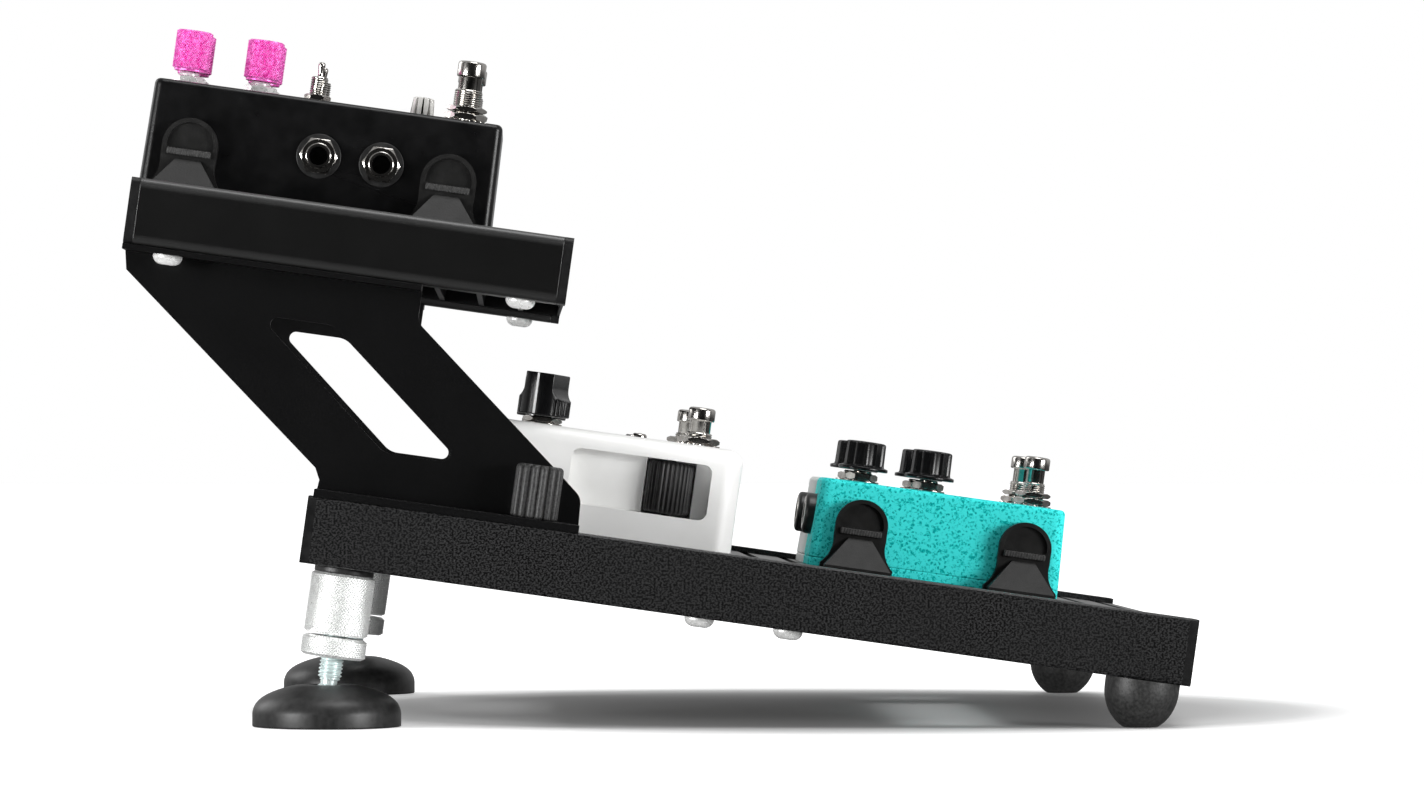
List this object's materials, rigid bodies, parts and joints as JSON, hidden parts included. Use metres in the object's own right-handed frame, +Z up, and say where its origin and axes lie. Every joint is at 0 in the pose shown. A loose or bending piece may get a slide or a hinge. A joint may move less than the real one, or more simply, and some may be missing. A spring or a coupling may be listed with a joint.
{
  "type": "pedalboard",
  "caption": "Two-tier sloping pedalboard: slotted decks, slanted risers, adjustable swivel legs, sliding clamps, with effect pedals clamped on.",
  "frame": {"origin": "centre of the overall box, on the floor", "axes": "+X runs to the player's edge, the low end of the deck; +Y across the board; +Z up"},
  "size_m": [0.3628, 0.324, 0.2383],
  "materials": {
    "board_black": "satin black anodised aluminium, fine grain",
    "end_cap": "satin black plastic",
    "screw_steel": "bright zinc-plated steel",
    "hand_knob": "matt black fluted plastic",
    "knurled_aluminium": "bright diamond-knurled aluminium",
    "zinc_thread": "bright zinc-plated thread",
    "pad_plastic": "glossy black moulded plastic",
    "foot_rubber": "soft matt black rubber",
    "clamp_plastic": "matt dark grey moulded plastic",
    "black_paint": "semi-gloss black powder coat on a cast case",
    "pink_anodised": "pink anodised, diamond-knurled",
    "chrome": "polished nickel and chrome plate",
    "ivory_plastic": "pale fluted plastic",
    "white_paint": "soft white paint",
    "knob_black": "glossy black moulded plastic",
    "wheel_black": "black ribbed rubber",
    "teal_sparkle": "teal sparkle paint with metal flake",
    "pale_paint": "pale off-white paint",
    "socket_black": "black plastic with nickel rings",
    "circuit_board": "green laminate and black cans"
  },
  "bodies": {
    "board": {"side_beam_near": "board_black", "side_beam_far": "board_black", "tray_beam_near": "board_black", "tray_beam_far": "board_black", "rear_tracks": "board_black", "front_tracks": "board_black", "tray_tracks": "board_black", "riser_near": "board_black", "riser_far": "board_black", "beam_end_caps": "end_cap", "screws_and_nuts": "screw_steel", "leg_sleeves": "knurled_aluminium", "front_feet": "foot_rubber", "black_pedal_shell": "black_paint", "black_pedal_base": "black_paint", "white_pedal_shell": "white_paint", "white_pedal_base": "white_paint", "rear_white_pedal_case": "white_paint", "teal_pedal_shell": "teal_sparkle", "teal_pedal_lid": "teal_sparkle", "pale_pedal_case": "pale_paint", "sockets": "socket_black", "panel_hardware": "chrome", "inner_electronics": "circuit_board"},
    "leg_rod_near": {"leg_rod_near": "zinc_thread"},
    "foot_pad_near": {"foot_pad_near": "pad_plastic"},
    "lock_ring_near": {"lock_ring_near": "knurled_aluminium"},
    "riser_knob_near": {"riser_knob_near": "hand_knob"},
    "leg_rod_far": {"leg_rod_far": "zinc_thread"},
    "foot_pad_far": {"foot_pad_far": "pad_plastic"},
    "lock_ring_far": {"lock_ring_far": "knurled_aluminium"},
    "riser_knob_far": {"riser_knob_far": "hand_knob"},
    "tray_clamp_rear_near": {"tray_clamp_rear_near": "clamp_plastic"},
    "tray_clamp_rear_far": {"tray_clamp_rear_far": "clamp_plastic"},
    "board_clamp_rear_near": {"board_clamp_rear_near": "clamp_plastic"},
    "board_clamp_rear_far": {"board_clamp_rear_far": "clamp_plastic"},
    "tray_clamp_front_near": {"tray_clamp_front_near": "clamp_plastic"},
    "tray_clamp_front_far": {"tray_clamp_front_far": "clamp_plastic"},
    "board_clamp_front_near": {"board_clamp_front_near": "clamp_plastic"},
    "board_clamp_front_far": {"board_clamp_front_far": "clamp_plastic"},
    "black_pedal_knob_1": {"black_pedal_knob_1": "pink_anodised"},
    "black_pedal_knob_2": {"black_pedal_knob_2": "pink_anodised"},
    "black_pedal_knob_3": {"black_pedal_knob_3": "pink_anodised"},
    "black_pedal_knob_4": {"black_pedal_knob_4": "pink_anodised"},
    "black_pedal_trim_knob": {"black_pedal_trim_knob": "ivory_plastic"},
    "white_pedal_knob": {"white_pedal_knob": "knob_black"},
    "rear_white_pedal_knob": {"rear_white_pedal_knob": "knob_black"},
    "white_pedal_thumbwheel": {"white_pedal_thumbwheel": "wheel_black"},
    "teal_pedal_knob_1": {"teal_pedal_knob_1": "knob_black"},
    "teal_pedal_knob_2": {"teal_pedal_knob_2": "knob_black"},
    "pale_pedal_knob_1": {"pale_pedal_knob_1": "knob_black"},
    "pale_pedal_knob_2": {"pale_pedal_knob_2": "knob_black"},
    "black_pedal_toggle_1": {"black_pedal_toggle_1": "chrome"},
    "black_pedal_toggle_2": {"black_pedal_toggle_2": "chrome"},
    "black_pedal_footswitch_1": {"black_pedal_footswitch_1": "chrome"},
    "black_pedal_footswitch_2": {"black_pedal_footswitch_2": "chrome"},
    "pale_pedal_footswitch": {"pale_pedal_footswitch": "chrome"},
    "rear_white_pedal_footswitch": {"rear_white_pedal_footswitch": "chrome"},
    "teal_pedal_footswitch": {"teal_pedal_footswitch": "chrome"},
    "white_pedal_footswitch": {"white_pedal_footswitch": "chrome"}
  },
  "joints": [
    {"name": "leg_height_near", "type": "slide", "parent": "board", "child": "leg_rod_near", "axis": [-0.1383, 0, -0.9904], "range_m": [-0.004, 0.018]},
    {"name": "foot_swivel_near", "type": "hinge", "parent": "leg_rod_near", "child": "foot_pad_near", "pos_m": [-0.11001, -0.137, 0.01], "axis": [0, 1, 0], "range_deg": [-7, 22.9]},
    {"name": "lock_ring_turn_near", "type": "hinge", "parent": "board", "child": "lock_ring_near", "pos_m": [-0.10768, -0.137, 0.02665], "axis": [0.1383, 0, 0.9904], "continuous": true},
    {"name": "riser_knob_turn_near", "type": "hinge", "parent": "board", "child": "riser_knob_near", "pos_m": [-0.03939, -0.141, 0.07896], "axis": [0.1383, 0, 0.9904], "continuous": true},
    {"name": "leg_height_far", "type": "slide", "parent": "board", "child": "leg_rod_far", "axis": [-0.1383, 0, -0.9904], "range_m": [-0.004, 0.018]},
    {"name": "foot_swivel_far", "type": "hinge", "parent": "leg_rod_far", "child": "foot_pad_far", "pos_m": [-0.11001, 0.137, 0.01], "axis": [0, 1, 0], "range_deg": [-7, 22.9]},
    {"name": "lock_ring_turn_far", "type": "hinge", "parent": "board", "child": "lock_ring_far", "pos_m": [-0.10768, 0.137, 0.02665], "axis": [0.1383, 0, 0.9904], "continuous": true},
    {"name": "riser_knob_turn_far", "type": "hinge", "parent": "board", "child": "riser_knob_far", "pos_m": [-0.03939, 0.141, 0.07896], "axis": [0.1383, 0, 0.9904], "continuous": true},
    {"name": "tray_clamp_rear_near_slide", "type": "slide", "parent": "board", "child": "tray_clamp_rear_near", "axis": [0, 1, 0], "range_m": [-0.0173, 0]},
    {"name": "tray_clamp_rear_far_slide", "type": "slide", "parent": "board", "child": "tray_clamp_rear_far", "axis": [0, 1, 0], "range_m": [0, 0.1513]},
    {"name": "board_clamp_rear_near_slide", "type": "slide", "parent": "board", "child": "board_clamp_rear_near", "axis": [0, 1, 0], "range_m": [-0.1513, 0]},
    {"name": "board_clamp_rear_far_slide", "type": "slide", "parent": "board", "child": "board_clamp_rear_far", "axis": [0, 1, 0], "range_m": [0, 0.004]},
    {"name": "tray_clamp_front_near_slide", "type": "slide", "parent": "board", "child": "tray_clamp_front_near", "axis": [0, 1, 0], "range_m": [-0.0173, 0]},
    {"name": "tray_clamp_front_far_slide", "type": "slide", "parent": "board", "child": "tray_clamp_front_far", "axis": [0, 1, 0], "range_m": [0, 0.1513]},
    {"name": "board_clamp_front_near_slide", "type": "slide", "parent": "board", "child": "board_clamp_front_near", "axis": [0, 1, 0], "range_m": [-0.1513, 0]},
    {"name": "board_clamp_front_far_slide", "type": "slide", "parent": "board", "child": "board_clamp_front_far", "axis": [0, 1, 0], "range_m": [0, 0.004]},
    {"name": "black_pedal_knob_1_turn", "type": "hinge", "parent": "board", "child": "black_pedal_knob_1", "pos_m": [-0.15812, -0.077, 0.23084], "axis": [0.1383, 0, 0.9904], "range_deg": [-150, 150]},
    {"name": "black_pedal_knob_2_turn", "type": "hinge", "parent": "board", "child": "black_pedal_knob_2", "pos_m": [-0.13346, -0.077, 0.22739], "axis": [0.1383, 0, 0.9904], "range_deg": [-150, 150]},
    {"name": "black_pedal_knob_3_turn", "type": "hinge", "parent": "board", "child": "black_pedal_knob_3", "pos_m": [-0.15812, -0.057, 0.23084], "axis": [0.1383, 0, 0.9904], "range_deg": [-150, 150]},
    {"name": "black_pedal_knob_4_turn", "type": "hinge", "parent": "board", "child": "black_pedal_knob_4", "pos_m": [-0.13346, -0.057, 0.22739], "axis": [0.1383, 0, 0.9904], "range_deg": [-150, 150]},
    {"name": "black_pedal_trim_knob_turn", "type": "hinge", "parent": "board", "child": "black_pedal_trim_knob", "pos_m": [-0.07895, -0.067, 0.21069], "axis": [0.1383, 0, 0.9904], "range_deg": [-150, 150]},
    {"name": "white_pedal_knob_turn", "type": "hinge", "parent": "board", "child": "white_pedal_knob", "pos_m": [-0.03611, -0.065, 0.11182], "axis": [0.1383, 0, 0.9904], "range_deg": [-150, 150]},
    {"name": "rear_white_pedal_knob_turn", "type": "hinge", "parent": "board", "child": "rear_white_pedal_knob", "pos_m": [-0.03611, 0.069, 0.11182], "axis": [0.1383, 0, 0.9904], "range_deg": [-150, 150]},
    {"name": "white_pedal_thumbwheel_turn", "type": "hinge", "parent": "board", "child": "white_pedal_thumbwheel", "pos_m": [0.00623, -0.07945, 0.07955], "axis": [0.1383, 0, 0.9904], "range_deg": [-150, 150]},
    {"name": "teal_pedal_knob_1_turn", "type": "hinge", "parent": "board", "child": "teal_pedal_knob_1", "pos_m": [0.08185, 0.05325, 0.0903], "axis": [0.1383, 0, 0.9904], "range_deg": [-150, 150]},
    {"name": "teal_pedal_knob_2_turn", "type": "hinge", "parent": "board", "child": "teal_pedal_knob_2", "pos_m": [0.10621, 0.05325, 0.0869], "axis": [0.1383, 0, 0.9904], "range_deg": [-150, 150]},
    {"name": "pale_pedal_knob_1_turn", "type": "hinge", "parent": "board", "child": "pale_pedal_knob_1", "pos_m": [0.08185, 0.11025, 0.0903], "axis": [0.1383, 0, 0.9904], "range_deg": [-150, 150]},
    {"name": "pale_pedal_knob_2_turn", "type": "hinge", "parent": "board", "child": "pale_pedal_knob_2", "pos_m": [0.10621, 0.11025, 0.0869], "axis": [0.1383, 0, 0.9904], "range_deg": [-150, 150]},
    {"name": "black_pedal_toggle_1_tilt", "type": "hinge", "parent": "board", "child": "black_pedal_toggle_1", "pos_m": [-0.11412, -0.082, 0.21985], "axis": [0, 1, 0], "range_deg": [-12, 12]},
    {"name": "black_pedal_toggle_2_tilt", "type": "hinge", "parent": "board", "child": "black_pedal_toggle_2", "pos_m": [-0.11412, -0.052, 0.21985], "axis": [0, 1, 0], "range_deg": [-12, 12]},
    {"name": "black_pedal_footswitch_1_press", "type": "slide", "parent": "board", "child": "black_pedal_footswitch_1", "axis": [0.1383, 0, 0.9904], "range_m": [-0.003, 0], "stiffness_N_per_m": 800, "springref_m": 0.003},
    {"name": "black_pedal_footswitch_2_press", "type": "slide", "parent": "board", "child": "black_pedal_footswitch_2", "axis": [0.1383, 0, 0.9904], "range_m": [-0.003, 0], "stiffness_N_per_m": 800, "springref_m": 0.003},
    {"name": "pale_pedal_footswitch_press", "type": "slide", "parent": "board", "child": "pale_pedal_footswitch", "axis": [0.1383, 0, 0.9904], "range_m": [-0.003, 0], "stiffness_N_per_m": 800, "springref_m": 0.003},
    {"name": "rear_white_pedal_footswitch_press", "type": "slide", "parent": "board", "child": "rear_white_pedal_footswitch", "axis": [0.1383, 0, 0.9904], "range_m": [-0.003, 0], "stiffness_N_per_m": 800, "springref_m": 0.003},
    {"name": "teal_pedal_footswitch_press", "type": "slide", "parent": "board", "child": "teal_pedal_footswitch", "axis": [0.1383, 0, 0.9904], "range_m": [-0.003, 0], "stiffness_N_per_m": 800, "springref_m": 0.003},
    {"name": "white_pedal_footswitch_press", "type": "slide", "parent": "board", "child": "white_pedal_footswitch", "axis": [0.1383, 0, 0.9904], "range_m": [-0.003, 0], "stiffness_N_per_m": 800, "springref_m": 0.003}
  ]
}
